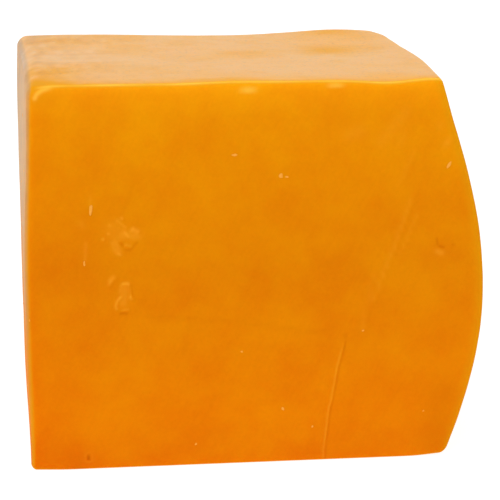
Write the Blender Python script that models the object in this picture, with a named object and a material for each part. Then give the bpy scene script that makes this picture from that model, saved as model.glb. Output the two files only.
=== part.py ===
"""A hunk of mimolette: five sides cut with a wire and one swelling side, from the outside of the ball.

Metres, +Z up. The broad cut face looks along -Y, the swelling side along +X, and the hunk stands on a flat
cut face with its foot at z = 0. Its origin is the middle of its footprint.
"""

import math
from typing import NamedTuple

import bmesh
import bpy
from mathutils import Vector, noise

NAME = "mimolette"

# The block before its sides lean, swell and flare
HEIGHT = 0.0936
DEPTH = 0.0755
WIDTH = 0.1050

# The left side leans in as it rises and flares out towards the back
LEFT_FOOT = -0.0528
LEFT_LEAN = 0.0030
LEFT_LEAN_POWER = 2.2
LEFT_FLARE_AT_FOOT = 0.0058
LEFT_FLARE_AT_TOP = 0.0068

# The right side swells, with its waist below the middle, and kicks out a little at the top of its front
BELLY_REACH = 0.0562
BELLY_HEIGHT = 0.0400
PLAN_RADIUS = 0.400
PLAN_CROWN = 0.032
TOP_KICK = 0.0005
TOP_KICK_REACH = 0.006

# The back face bows out towards its right end
BACK_BOW = 0.0030
BACK_BOW_AT = 0.028
BACK_BOW_SPREAD = 0.022

# The faces wander a little, as a wire leaves them
WANDER = 0.00045
WANDER_LENGTH = 0.032
WANDER_PLACES = (Vector((0.0, 0.0, 0.0)), Vector((31.7, 0.0, 0.0)), Vector((0.0, 47.3, 0.0)))
FOOT_HOLD = 0.006

# The grid on each side of the block, closer towards its edges
CELLS = 24
CROWDING = 1.7
BLEND_BAND = 0.012
BLEND_POWER = 3.0

FINISH = (0.775, 0.225, 0.008, 1.0)
ROUGHNESS = 0.32
SHARP_ANGLE = math.radians(40)


class Flank(NamedTuple):
    """One half of the belly's profile, which bends from upright into a straight lean."""

    lean: float
    bend: float

    def drop(self, rise):
        """How far the side has drawn in at this distance from the waist."""
        return self.lean * (math.hypot(rise, self.bend) - self.bend)


class Swell(NamedTuple):
    """A low rise, or a dent where its height is negative, in the top."""

    x: float
    y: float
    spread: float
    height: float

    def lift(self, x, y):
        """How far the swell raises the top here."""
        away = math.hypot(x - self.x, y - self.y) / self.spread
        return self.height * math.exp(-away * away)


UPPER_FLANK = Flank(lean=0.485, bend=0.041)
LOWER_FLANK = Flank(lean=0.348, bend=0.026)

SWELLS = (
    Swell(x=-0.0525, y=-0.001, spread=0.0045, height=-0.0012),
    Swell(x=-0.046, y=0.024, spread=0.018, height=0.0005),
    Swell(x=-0.004, y=0.001, spread=0.010, height=0.0004),
    Swell(x=0.031, y=0.001, spread=0.006, height=-0.0004),
    Swell(x=0.041, y=0.002, spread=0.005, height=0.0003),
    Swell(x=0.024, y=0.052, spread=0.013, height=-0.0008),
    Swell(x=0.031, y=0.074, spread=0.014, height=0.0009),
    Swell(x=-0.030, y=0.045, spread=0.016, height=-0.0004),
    Swell(x=-0.042, y=0.074, spread=0.030, height=0.0008),
)

# The radius of each edge, by the two sides that meet there: -1 is left, front or foot, and 1 its opposite
UPRIGHT_EDGES = {(-1, -1): 0.0018, (1, -1): 0.0010, (-1, 1): 0.0016, (1, 1): 0.0100}
SIDE_EDGES = {(-1, -1): 0.0020, (1, -1): 0.0048, (-1, 1): 0.0036, (1, 1): 0.0008}
LONG_EDGES = {(-1, -1): 0.0006, (1, -1): 0.0022, (-1, 1): 0.0012, (1, 1): 0.0026}


def side_of(value):
    """Which of two opposite sides a coordinate is nearer: -1 or 1."""
    return 1 if value >= 0.0 else -1


def crowded(place):
    """A grid place from -1 to 1, moved towards the nearer edge."""
    return math.copysign(1.0 - (1.0 - abs(place)) ** CROWDING, place)


def edge_radius(point, half):
    """The rounding at a point on the block, blended where edges of unlike radius meet."""
    near = [max(0.0, 1.0 - (half[i] - abs(point[i])) / BLEND_BAND) ** BLEND_POWER for i in range(3)]
    x_side, y_side, z_side = (side_of(value) for value in point)
    weights = (near[0] * near[1], near[0] * near[2], near[1] * near[2])
    radii = (
        UPRIGHT_EDGES[x_side, y_side],
        SIDE_EDGES[x_side, z_side],
        LONG_EDGES[y_side, z_side],
    )
    total = sum(weights)
    if total <= 0.0:
        return min(radii)
    return sum(weight * radius for weight, radius in zip(weights, radii)) / total


def rounded(point, half):
    """A point on the block's surface, moved onto its rounded edges."""
    radius = edge_radius(point, half)
    core = Vector([max(radius - half[i], min(half[i] - radius, point[i])) for i in range(3)])
    return core + (point - core).normalized() * radius


def left_side(y, z):
    """The x of the left side at this depth and height."""
    rise = z / HEIGHT
    flare = LEFT_FLARE_AT_FOOT + (LEFT_FLARE_AT_TOP - LEFT_FLARE_AT_FOOT) * rise
    return LEFT_FOOT + LEFT_LEAN * max(0.0, rise) ** LEFT_LEAN_POWER - flare * y / DEPTH


def right_side(y, z):
    """The x of the swelling side at this depth and height."""
    flank = UPPER_FLANK if z > BELLY_HEIGHT else LOWER_FLANK
    sagitta = ((y - PLAN_CROWN) ** 2 - PLAN_CROWN**2) / (2.0 * PLAN_RADIUS)
    below_top = (HEIGHT - z) / TOP_KICK_REACH
    kick = TOP_KICK * math.exp(-below_top * below_top) * (1.0 - y / DEPTH)
    return BELLY_REACH + kick - flank.drop(z - BELLY_HEIGHT) - sagitta


def wander(point):
    """How far a wire's unsteady path has moved this point."""
    return WANDER * Vector([noise.noise(point / WANDER_LENGTH + start) for start in WANDER_PLACES])


def hunk_point(place):
    """The point of the hunk's surface for a place on the unit cube."""
    half = Vector((WIDTH, DEPTH, HEIGHT)) / 2.0
    block = Vector([half[i] * crowded(place[i]) for i in range(3)])
    soft = rounded(block, half)
    across = soft.x / WIDTH + 0.5
    y = soft.y + half.y
    z = soft.z + half.z
    x = left_side(y, z) * (1.0 - across) + right_side(y, z) * across
    away = (x - BACK_BOW_AT) / BACK_BOW_SPREAD
    y += BACK_BOW * math.exp(-away * away) * y / DEPTH
    above_foot = min(1.0, z / FOOT_HOLD)
    lift = sum(swell.lift(x, y) for swell in SWELLS) * z / HEIGHT
    point = Vector((x, y, z + lift * above_foot))
    return point + wander(point) * above_foot


def cheese_paste():
    """The bright orange paste, smooth where the wire went through."""
    finish = bpy.data.materials.new("mimolette_paste")
    finish.use_nodes = True
    shader = finish.node_tree.nodes["Principled BSDF"]
    shader.inputs["Base Color"].default_value = FINISH
    shader.inputs["Roughness"].default_value = ROUGHNESS
    shader.inputs["Metallic"].default_value = 0.0
    finish.diffuse_color = FINISH
    return finish


def make_hunk(collection):
    """Models the hunk from a cube, and stands it on the middle of its footprint."""
    shape = bmesh.new()
    bmesh.ops.create_cube(shape, size=2.0)
    bmesh.ops.subdivide_edges(shape, edges=shape.edges[:], cuts=CELLS - 1, use_grid_fill=True)
    for vertex in shape.verts:
        vertex.co = hunk_point(vertex.co)
    for axis in range(2):
        places = [vertex.co[axis] for vertex in shape.verts]
        middle = (min(places) + max(places)) / 2.0
        for vertex in shape.verts:
            vertex.co[axis] -= middle
    bmesh.ops.triangulate(shape, faces=shape.faces[:])
    bmesh.ops.recalc_face_normals(shape, faces=shape.faces[:])
    mesh = bpy.data.meshes.new(NAME)
    shape.to_mesh(mesh)
    shape.free()
    mesh.shade_smooth()
    mesh.set_sharp_from_angle(angle=SHARP_ANGLE)
    mesh.materials.append(cheese_paste())
    hunk = bpy.data.objects.new(NAME, mesh)
    collection.objects.link(hunk)
    return hunk


def main():
    """Clears the scene and models the hunk."""
    for leftover in list(bpy.data.objects):
        bpy.data.objects.remove(leftover)
    collection = bpy.data.collections.new(NAME)
    bpy.context.scene.collection.children.link(collection)
    make_hunk(collection)


main()
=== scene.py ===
"""A hunk of mimolette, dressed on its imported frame, with its light and camera.

Metres, +Z up. The hunk is laid out with its broad cut face on the plane y = 0 and x = 0 under the middle of the
picture, and is then moved onto the frame's box. Marks on its sides are placed in millimetres.
"""

import logging
import math
from dataclasses import dataclass, field
from enum import Enum
from typing import Any, Iterable, Mapping, NamedTuple, Optional, Sequence

import bpy
import numpy as np
from mathutils import Matrix, Vector, noise
from mathutils.bvhtree import BVHTree


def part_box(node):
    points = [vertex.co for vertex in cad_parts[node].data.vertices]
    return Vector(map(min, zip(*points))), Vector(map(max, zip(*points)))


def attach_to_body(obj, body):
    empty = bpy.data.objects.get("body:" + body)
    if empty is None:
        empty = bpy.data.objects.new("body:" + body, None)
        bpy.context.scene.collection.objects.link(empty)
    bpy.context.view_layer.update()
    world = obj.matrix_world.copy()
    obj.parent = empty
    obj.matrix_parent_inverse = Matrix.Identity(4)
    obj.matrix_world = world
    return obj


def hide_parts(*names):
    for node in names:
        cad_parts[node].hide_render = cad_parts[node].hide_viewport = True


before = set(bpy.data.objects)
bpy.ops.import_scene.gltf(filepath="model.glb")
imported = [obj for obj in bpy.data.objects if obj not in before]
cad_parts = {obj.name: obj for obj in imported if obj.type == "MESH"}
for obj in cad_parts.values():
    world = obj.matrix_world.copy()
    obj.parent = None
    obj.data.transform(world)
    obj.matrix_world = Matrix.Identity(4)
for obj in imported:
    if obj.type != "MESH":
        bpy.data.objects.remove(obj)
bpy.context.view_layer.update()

LOG = logging.getLogger("mimolette")
MM = 0.001
NODE = "mimolette"
BODY = "root"

Colour = tuple[float, float, float, float]
Pair = tuple[float, float]
Tree = bpy.types.NodeTree
Socket = bpy.types.NodeSocket

# Settings that many of the nodes share
COLOURS = {"data_type": "RGBA"}
MULTIPLY = {"operation": "MULTIPLY"}
DIVIDE = {"operation": "DIVIDE"}
SUBTRACT = {"operation": "SUBTRACT"}
SCALE = {"operation": "SCALE"}
CLAMPED_ADD = {"operation": "ADD", "use_clamp": True}
CLAMPED_MULTIPLY = {"operation": "MULTIPLY", "use_clamp": True}

# Nearly all of a noise's values lie in here
NOISE_MIDDLE = (0.3, 0.7)

# The numbers that the hunk keeps at each point for its finish, painted light and shade among them
MASKS = ("mark_tone_and_shading", "lip_and_highlight", "top_skin_and_light", "top_zone", "left_film", "fleck", "front_cut", "rim_glow")


def linear(code: str) -> Colour:
    """Turns an sRGB hex colour into linear light.

    Args:
        code: The colour, such as "#E88406".

    Returns:
        Red, green, blue and an alpha of 1.
    """
    parts = [int(code[start : start + 2], 16) / 255.0 for start in (1, 3, 5)]
    light = [part / 12.92 if part <= 0.04045 else ((part + 0.055) / 1.055) ** 2.4 for part in parts]
    return (light[0], light[1], light[2], 1.0)


def add_node(
    tree: Tree,
    kind: str,
    settings: Optional[Mapping[str, Any]] = None,
    inputs: Optional[Mapping[Any, Any]] = None,
) -> bpy.types.Node:
    """Adds a node with its settings and links.

    Args:
        tree: The node tree.
        kind: Blender's name for the type of node.
        settings: The node's own properties, by name.
        inputs: By socket name or number, an output to link from or a value.

    Returns:
        The node.
    """
    node = tree.nodes.new(kind)
    for name, value in (settings or {}).items():
        setattr(node, name, value)
    for key, value in (inputs or {}).items():
        if isinstance(value, Socket):
            tree.links.new(value, node.inputs[key])
        else:
            node.inputs[key].default_value = value
    return node


def blank_material(name: str, shown: str) -> bpy.types.Material:
    """A material with an empty tree, and the colour that it has in a plain view."""
    material = bpy.data.materials.new(name)
    material.use_nodes = True
    material.node_tree.nodes.clear()
    material.diffuse_color = linear(shown)
    return material


class Recipe:
    """A Geometry Nodes tree that is run once on a carrier mesh, and leaves a plain mesh."""

    def __init__(self, name: str, inputs: Mapping[str, str]) -> None:
        """Args:
            name: The tree's name.
            inputs: The named inputs, with the kind of each socket.
        """
        self.tree = bpy.data.node_groups.new(name, "GeometryNodeTree")
        self.tree.interface.new_socket("Geometry", in_out="INPUT", socket_type="NodeSocketGeometry")
        self.tree.interface.new_socket("Geometry", in_out="OUTPUT", socket_type="NodeSocketGeometry")
        self.sockets = {
            label: self.tree.interface.new_socket(label, in_out="INPUT", socket_type=kind).identifier
            for label, kind in {**inputs, "Finish": "NodeSocketMaterial"}.items()
        }
        self.given = add_node(self.tree, "NodeGroupInput").outputs

    def close(self, shape: Socket) -> None:
        """Ends the tree with realised, smooth and finished geometry."""
        for kind, inputs in (
            ("GeometryNodeSetShadeSmooth", {}),
            ("GeometryNodeRealizeInstances", {}),
            ("GeometryNodeSetMaterial", {"Material": self.given["Finish"]}),
        ):
            shape = add_node(self.tree, kind, inputs={"Geometry": shape, **inputs}).outputs[0]
        add_node(self.tree, "NodeGroupOutput", inputs={"Geometry": shape})

    def run(self, carrier: bpy.types.Mesh, values: Mapping[str, Any]) -> bpy.types.Mesh:
        """Runs the tree on a mesh.

        Args:
            carrier: The mesh that the tree starts from.
            values: The named inputs' values.

        Returns:
            The plain mesh that comes out.
        """
        holder = bpy.data.objects.new(self.tree.name, carrier)
        bpy.context.scene.collection.objects.link(holder)
        modifier = holder.modifiers.new(self.tree.name, "NODES")
        modifier.node_group = self.tree
        for label, value in values.items():
            modifier[self.sockets[label]] = value
        graph = bpy.context.evaluated_depsgraph_get()
        made = bpy.data.meshes.new_from_object(
            holder.evaluated_get(graph), preserve_all_data_layers=True, depsgraph=graph
        )
        holder.modifiers.clear()
        bpy.data.objects.remove(holder)
        return made


def smoothstep(low: float, high: float, value: np.ndarray) -> np.ndarray:
    """A soft step from 0 at the low value to 1 at the high one."""
    part = np.clip((value - low) / (high - low), 0.0, 1.0)
    return part * part * (3.0 - 2.0 * part)


def noise_at(places: Iterable[Sequence[float]]) -> np.ndarray:
    """Smooth noise, from about -1 to 1, at these places."""
    return np.array([noise.noise(Vector(place)) for place in places])


class Face(Enum):
    """A side of the hunk: the axis that it looks along, which way, and the two axes of its own plane."""

    FRONT = (1, -1, (0, 2))
    BACK = (1, 1, (0, 2))
    LEFT = (0, -1, (1, 2))
    RIGHT = (0, 1, (1, 2))
    TOP = (2, 1, (0, 1))
    FOOT = (2, -1, (0, 1))

    @property
    def axis(self) -> int:
        """The axis that the side looks along."""
        return self.value[0]

    @property
    def sense(self) -> int:
        """1 where the side looks up its axis, and -1 where it looks down."""
        return self.value[1]

    @property
    def plane(self) -> tuple[int, int]:
        """The two axes of the side's own plane."""
        return self.value[2]


class Band(NamedTuple):
    """A stretch of the grid with closer lines, in metres from the block's middle."""

    start: float
    end: float
    cell: float


@dataclass(frozen=True)
class Stations:
    """The grid's lines along one axis of the block."""

    length: float
    cell: float
    bands: tuple[Band, ...] = ()
    edge: float = 2.6 * MM
    edge_cell: float = 0.30 * MM
    growth: float = 0.35
    step: float = 0.05 * MM

    def places(self) -> np.ndarray:
        """The lines' places from the middle, closer in the bands and near both edges."""
        half = self.length / 2.0
        along = np.linspace(-half, half, int(self.length / self.step) + 1)
        size = np.full(len(along), self.cell)
        edges = (Band(-half, self.edge - half, self.edge_cell), Band(half - self.edge, half, self.edge_cell))
        for band in (*self.bands, *edges):
            outside = np.maximum(np.maximum(band.start - along, along - band.end), 0.0)
            size = np.minimum(size, band.cell + outside * self.growth)
        count = np.concatenate(([0.0], np.cumsum(np.diff(along) * 2.0 / (size[1:] + size[:-1]))))
        return np.interp(np.linspace(0.0, count[-1], int(math.ceil(count[-1])) + 1), count, along)


class Flank(NamedTuple):
    """One half of the belly's profile, which bends from upright into a straight lean."""

    lean: float
    bend: float

    def drop(self, rise: np.ndarray) -> np.ndarray:
        """How far the side has drawn in at these distances from the waist."""
        return self.lean * (np.hypot(rise, self.bend) - self.bend)


class Swell(NamedTuple):
    """A low rise, or a dent where its height is negative, in the top."""

    x: float
    y: float
    spread: float
    height: float

    def lift(self, x: np.ndarray, y: np.ndarray) -> np.ndarray:
        """How far the swell raises the top at these places."""
        away = np.hypot(x - self.x, y - self.y) / self.spread
        return self.height * np.exp(-away * away)


@dataclass(frozen=True)
class HunkForm:
    """The form that the wire and the ball leave: the block, its leaning and swelling sides, edges and top."""

    width: float = 0.1050
    depth: float = 0.0755
    height: float = 0.0936
    left_foot: float = -0.0528
    left_lean: float = 0.0030
    left_lean_power: float = 2.2
    left_flare_at_foot: float = 0.0058
    left_flare_at_top: float = 0.0068
    belly_reach: float = 0.0562
    belly_height: float = 0.0400
    plan_radius: float = 0.400
    plan_crown: float = 0.032
    top_kick: float = 0.0005
    top_kick_reach: float = 0.006
    back_bow: float = 0.0030
    back_bow_at: float = 0.028
    back_bow_spread: float = 0.022
    wander: float = 0.00045
    wander_length: float = 0.032
    wander_places: tuple[tuple[float, float, float], ...] = ((0.0, 0.0, 0.0), (31.7, 0.0, 0.0), (0.0, 47.3, 0.0))
    foot_hold: float = 0.006
    blend_band: float = 0.012
    blend_power: float = 3.0
    upper_flank: Flank = Flank(lean=0.485, bend=0.041)
    lower_flank: Flank = Flank(lean=0.348, bend=0.026)
    # Each edge's radius, by the near and far side along the one axis and then along the other
    upright_edges: tuple[Pair, ...] = ((0.0018, 0.0016), (0.0010, 0.0100))
    side_edges: tuple[Pair, ...] = ((0.0020, 0.0036), (0.0048, 0.0008))
    long_edges: tuple[Pair, ...] = ((0.0006, 0.0012), (0.0022, 0.0026))
    swells: tuple[Swell, ...] = (
        Swell(-0.0525, -0.001, 0.0045, -0.0012),
        Swell(-0.046, 0.024, 0.018, 0.0005),
        Swell(-0.004, 0.001, 0.010, 0.0004),
        Swell(0.031, 0.001, 0.006, -0.0004),
        Swell(0.041, 0.002, 0.005, 0.0003),
        Swell(0.024, 0.052, 0.013, -0.0008),
        Swell(0.031, 0.074, 0.014, 0.0009),
        Swell(-0.030, 0.045, 0.016, -0.0004),
        Swell(-0.042, 0.074, 0.030, 0.0008),
    )

    @property
    def half(self) -> np.ndarray:
        """Half the block's size."""
        return np.array((self.width, self.depth, self.height)) / 2.0

    def edge_radius(self, block: np.ndarray) -> np.ndarray:
        """The rounding at points on the block, blended where edges of unlike radius meet."""
        near = np.maximum(0.0, 1.0 - (self.half - np.abs(block)) / self.blend_band) ** self.blend_power
        far = (block >= 0.0).astype(int)
        pairs = ((0, 1, self.upright_edges), (0, 2, self.side_edges), (1, 2, self.long_edges))
        weights = np.stack([near[:, one] * near[:, other] for one, other, _ in pairs], axis=1)
        radii = np.stack([np.array(table)[far[:, one], far[:, other]] for one, other, table in pairs], axis=1)
        total = weights.sum(axis=1)
        blended = (weights * radii).sum(axis=1) / np.where(total > 0.0, total, 1.0)
        return np.where(total > 0.0, blended, radii.min(axis=1))

    def rounded(self, block: np.ndarray) -> np.ndarray:
        """Points on the block, moved onto its rounded edges."""
        radius = self.edge_radius(block)[:, None]
        core = np.clip(block, radius - self.half, self.half - radius)
        away = block - core
        return core + away / np.linalg.norm(away, axis=1)[:, None] * radius

    def left_side(self, y: np.ndarray, z: np.ndarray) -> np.ndarray:
        """The x of the left side at these depths and heights."""
        rise = z / self.height
        flare = self.left_flare_at_foot + (self.left_flare_at_top - self.left_flare_at_foot) * rise
        lean = self.left_lean * np.maximum(0.0, rise) ** self.left_lean_power
        return self.left_foot + lean - flare * y / self.depth

    def right_side(self, y: np.ndarray, z: np.ndarray) -> np.ndarray:
        """The x of the swelling side at these depths and heights."""
        rise = z - self.belly_height
        drop = np.where(rise > 0.0, self.upper_flank.drop(rise), self.lower_flank.drop(rise))
        sagitta = ((y - self.plan_crown) ** 2 - self.plan_crown**2) / (2.0 * self.plan_radius)
        kick = self.top_kick * np.exp(-(((self.height - z) / self.top_kick_reach) ** 2)) * (1.0 - y / self.depth)
        return self.belly_reach + kick - drop - sagitta

    def wandered(self, points: np.ndarray) -> np.ndarray:
        """How far a wire's unsteady path has moved these points."""
        starts = [Vector(place) for place in self.wander_places]
        scaled = [Vector(point) for point in points / self.wander_length]
        return self.wander * np.array([[noise.noise(place + start) for start in starts] for place in scaled])

    def points(self, block: np.ndarray) -> np.ndarray:
        """The hunk's surface.

        Args:
            block: Points on the plain block, from its middle.

        Returns:
            The same points on the finished form, with the foot at z = 0.
        """
        soft = self.rounded(block)
        across = soft[:, 0] / self.width + 0.5
        y = soft[:, 1] + self.depth / 2.0
        z = soft[:, 2] + self.height / 2.0
        x = self.left_side(y, z) * (1.0 - across) + self.right_side(y, z) * across
        away = (x - self.back_bow_at) / self.back_bow_spread
        y = y + self.back_bow * np.exp(-away * away) * y / self.depth
        above_foot = np.minimum(1.0, z / self.foot_hold)
        lift = sum(swell.lift(x, y) for swell in self.swells) * z / self.height
        points = np.stack((x, y, z + lift * above_foot), axis=1)
        return points + self.wandered(points) * above_foot[:, None]


@dataclass(frozen=True)
class Mark:
    """A mark on a side, along a line in that side's plane, in millimetres.

    A rise lifts the paste and a fall lets it in. Pale paste is partly rubbed or lifted paste and partly a painted
    highlight on a mark's raised side; a negative pale paints shade into grooves and pits. The painted shadow is
    painted shade under the mark's right and lower rim, and paints light where it is negative.
    """

    path: tuple[Pair, ...]
    width: float
    rise: float = 0.0
    pale: float = 0.0
    painted_shadow: float = 0.0
    painted_shadow_shift: Pair = (0.9, -0.7)

    def strength(self, plane: np.ndarray, shift: Pair = (0.0, 0.0)) -> np.ndarray:
        """How strongly the mark shows.

        Args:
            plane: Points in the side's plane, in millimetres.
            shift: How far the mark is moved, in its own widths.

        Returns:
            1 on the mark's line, falling to 0 away from it.
        """
        moved = plane - np.array(shift) * self.width
        corners = np.array(self.path if len(self.path) > 1 else self.path * 2)
        nearest = np.full(len(plane), np.inf)
        for start, end in zip(corners, corners[1:]):
            run = end - start
            along = np.clip((moved - start) @ run / max(run @ run, 1e-9), 0.0, 1.0)
            nearest = np.minimum(nearest, np.linalg.norm(moved - start - along[:, None] * run, axis=1))
        return np.exp(-((nearest / self.width) ** 2))

    def tone(self, plane: np.ndarray) -> np.ndarray:
        """How much paler or darker the mark makes the paste, painted light and shade among it, from 1 to -1."""
        return self.pale * self.strength(plane) - self.painted_shadow * self.strength(plane, self.painted_shadow_shift)


# What the knife, the wire and handling left on the cut faces, with painted light on their raised sides and painted
# shade in and beside them
MARKS: dict[Face, tuple[Mark, ...]] = {
    Face.FRONT: (
        # The knife's line near the foot, with a painted highlight on its left and a painted shadow on its right, and
        # the fainter lines that meet it, with painted shade in them
        Mark(
            ((22.5, 30.5), (21.2, 24.9), (20.2, 18.2), (19.1, 12.5), (18.4, 5.3), (18.0, 0.7)),
            width=0.30,
            rise=0.05,
            pale=0.30,
            painted_shadow=0.34,
            painted_shadow_shift=(1.4, -0.3),
        ),
        Mark(((22.9, 32.6), (22.4, 29.0)), 0.5, -0.03, -0.22),
        Mark(((-23.5, 38.7), (-11.8, 37.6), (0.0, 36.2), (9.5, 34.6), (18.5, 33.4)), 0.7, -0.02, -0.12),
        Mark(((-14.4, 37.7), (-15.9, 29.2)), 0.6, -0.02, -0.13),
        # Scratches up the right of the face, each with a faint painted shadow beside it
        Mark(((37.6, 65.0), (33.9, 53.5), (29.6, 41.5)), 0.6, 0.02, 0.16, 0.10),
        Mark(((39.5, 62.0), (35.6, 52.5)), 0.5, 0.02, 0.12, 0.08),
        Mark(((38.0, 76.5), (34.8, 68.9)), 0.6, 0.02, 0.10, 0.06),
        Mark(((29.4, 47.0), (26.8, 33.3)), 0.6, 0.02, 0.10, 0.06),
        # Pale smudges high on the right
        Mark(((22.8, 81.2), (25.2, 81.8)), 1.5, 0.0, 0.12),
        Mark(((35.6, 86.0), (30.2, 79.4)), 1.4, 0.0, 0.10),
        Mark(((35.4, 81.0), (34.6, 79.0)), 0.9, 0.0, 0.08),
        Mark(((45.4, 78.6), (45.9, 79.1)), 0.8, 0.02, 0.24),
        Mark(((43.8, 83.2), (43.9, 82.6)), 0.9, 0.0, 0.12),
        # Faint smears around the crumbs on the left
        Mark(((-37.9, 57.0), (-38.2, 53.0)), 0.45, 0.0, 0.18),
        Mark(((-36.6, 68.0), (-36.5, 66.6)), 0.40, 0.0, 0.16),
        Mark(((-38.8, 61.8), (-38.6, 61.2)), 0.90, 0.0, 0.12),
        Mark(((-40.2, 52.0), (-40.4, 48.5)), 0.40, 0.0, -0.12),
        Mark(((-26.6, 71.4), (-28.7, 65.2)), 0.55, 0.0, -0.09),
        # The nick, with painted shade in it, and a pale spot below it
        Mark(((44.0, 55.9), (44.4, 54.6)), 0.27, -0.06, -0.50),
        Mark(((44.9, 54.2), (45.8, 53.8)), 0.27, -0.06, -0.54),
        Mark(((44.4, 52.8), (45.3, 52.5)), 0.80, 0.04, 0.32),
        Mark(((47.9, 54.3), (48.4, 54.2)), 0.30, -0.05, -0.34),
        # Darker low on the right, towards the foot
        Mark(((46.0, 3.0), (47.5, 16.0)), 5.0, 0.0, -0.28),
        # The small hole, with painted shade in it and a pale ring round it
        Mark(((-39.0, 3.5), (-39.0, 2.7)), 1.00, 0.0, 0.20),
        Mark(((-39.0, 3.4), (-39.0, 2.8)), 0.36, -0.45, -1.2),
        # The upper curl: loose dots, a thin arc, a lifted scale with painted shade under its rim, and a tail, their
        # pale faces partly painted highlight
        Mark(((-29.5, 62.8), (-29.3, 62.6)), 0.36, 0.07, 0.45, 0.15),
        Mark(((-30.6, 62.1), (-29.8, 61.6), (-28.6, 60.5)), 0.30, 0.08, 0.38, 0.15),
        Mark(((-32.7, 59.1), (-32.6, 59.0)), 0.32, 0.06, 0.48, 0.1),
        Mark(((-33.9, 57.8), (-33.8, 57.7)), 0.32, 0.06, 0.45, 0.1),
        Mark(((-32.4, 61.1), (-32.2, 60.9)), 0.28, 0.05, 0.28),
        Mark(((-31.4, 60.2), (-31.0, 58.6)), 2.20, 0.02, 0.13),
        Mark(((-31.0, 56.6), (-30.7, 55.0)), 0.95, 0.04, 0.24),
        Mark(((-28.9, 58.9), (-27.4, 58.4), (-25.9, 58.5)), 1.10, 0.08, 0.25),
        Mark(((-27.0, 60.0), (-26.0, 59.4)), 0.50, 0.13, 0.62, 0.25),
        Mark(((-28.9, 59.3), (-28.2, 58.4)), 0.35, 0.08, 0.30),
        Mark(((-28.8, 56.2), (-27.8, 55.8)), 0.42, 0.10, 0.46, 0.30),
        Mark(((-29.9, 56.8), (-29.4, 56.2)), 0.40, -0.08, -0.45),
        Mark(((-28.6, 55.0), (-27.7, 55.0)), 0.36, -0.05, -0.28),
        Mark(((-26.9, 56.0), (-26.2, 56.6)), 0.36, -0.05, -0.28),
        Mark(((-31.9, 56.6), (-31.5, 55.4), (-30.6, 54.4)), 0.36, 0.06, 0.18, 0.1),
        Mark(((-30.4, 54.2), (-30.1, 53.9)), 0.36, 0.08, 0.40),
        # The lower curl: a drop-shaped scale, open at its right, with painted shade under its lower rim and pale
        # faces partly painted highlight
        Mark(((-29.6, 46.9), (-28.5, 46.9)), 0.40, 0.12, 0.55),
        Mark(((-30.1, 46.4), (-30.3, 45.0)), 0.32, 0.06, 0.18),
        Mark(((-28.2, 46.5), (-27.8, 45.0), (-27.7, 43.9)), 0.30, 0.07, 0.25, 0.30),
        Mark(((-27.8, 43.7), (-27.5, 43.3)), 0.42, 0.10, 0.50, 0.25),
        Mark(((-30.3, 43.6), (-31.1, 42.7), (-31.4, 41.5), (-31.3, 40.7)), 0.34, 0.09, 0.45, 0.1),
        Mark(((-29.9, 40.3), (-28.6, 40.5)), 0.38, 0.08, 0.30, 0.1),
        Mark(((-30.3, 39.6), (-28.9, 39.6)), 0.38, -0.07, -0.42),
        Mark(((-29.2, 45.5), (-29.7, 42.2)), 1.05, 0.06, 0.24),
        Mark(((-31.8, 48.4), (-32.3, 47.9)), 0.62, 0.07, 0.36, 0.1),
        Mark(((-32.5, 47.3), (-32.8, 46.9)), 0.52, 0.05, 0.24, 0.1),
    ),
    # The same wear on the sides that the front doesn't show, with the same painted light and shade
    Face.BACK: (
        Mark(((-31.0, 88.0), (-27.5, 62.0), (-25.0, 40.0), (-24.6, 22.0)), 0.50, 0.08, 0.30, 0.40),
        Mark(((28.0, 31.0), (6.0, 34.0), (-14.0, 33.2)), 0.9, -0.04, -0.17),
        Mark(((19.5, 54.0), (20.6, 52.6), (20.2, 51.2)), 0.50, 0.14, 0.45, 0.30),
        Mark(((21.8, 55.0), (22.2, 53.4)), 0.42, 0.10, 0.35, 0.20),
    ),
    Face.LEFT: (
        Mark(((18.0, 92.0), (22.0, 64.0), (24.5, 40.0)), 0.6, 0.07, 0.22, 0.28),
        Mark(((50.0, 30.0), (53.0, 14.0)), 0.9, -0.04, -0.20),
    ),
    Face.RIGHT: (
        Mark(((14.0, 66.0), (26.0, 62.0), (41.0, 61.5)), 1.1, -0.06, -0.18),
        Mark(((22.0, 82.0), (31.0, 52.0), (35.0, 26.0), (35.5, 10.0)), 1.0, 0.06, 0.22, 0.24),
        Mark(((52.0, 58.0), (54.5, 56.5)), 1.1, 0.10, 0.30, 0.22),
        Mark(((49.0, 24.0), (52.5, 16.0)), 1.0, 0.05, 0.18, 0.12),
    ),
    Face.TOP: (
        # Streaks and two pits on the top, with light painted behind the raised streak and shade painted in the low
        # streaks and the pits
        Mark(
            ((-56.5, 43.5), (-53.7, 46.4), (-46.0, 51.5), (-36.0, 54.8), (-22.0, 56.5)),
            width=1.3,
            rise=0.10,
            pale=0.40,
            painted_shadow=-0.30,
            painted_shadow_shift=(0.0, 1.6),
        ),
        Mark(((-50.0, 39.5), (-40.0, 43.0), (-31.0, 44.8)), 1.2, -0.04, -0.12),
        Mark(((-53.0, 60.5), (-46.0, 62.5), (-37.0, 63.0)), 1.3, -0.04, -0.12),
        Mark(((-53.5, 68.5), (-44.0, 71.5), (-30.0, 71.0)), 1.1, 0.04, 0.22),
        Mark(((-1.5, 30.1), (-1.3, 29.9)), 0.40, -0.12, -0.55),
        Mark(((9.2, 33.7), (9.4, 33.5)), 0.35, -0.10, -0.50),
    ),
}

# How far the wire's drag leans from each side's second axis, in degrees
DRAG_LEANS = {Face.FRONT: 28.0, Face.BACK: -24.0, Face.LEFT: 5.0, Face.RIGHT: 9.0, Face.TOP: 84.0, Face.FOOT: 84.0}


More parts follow.
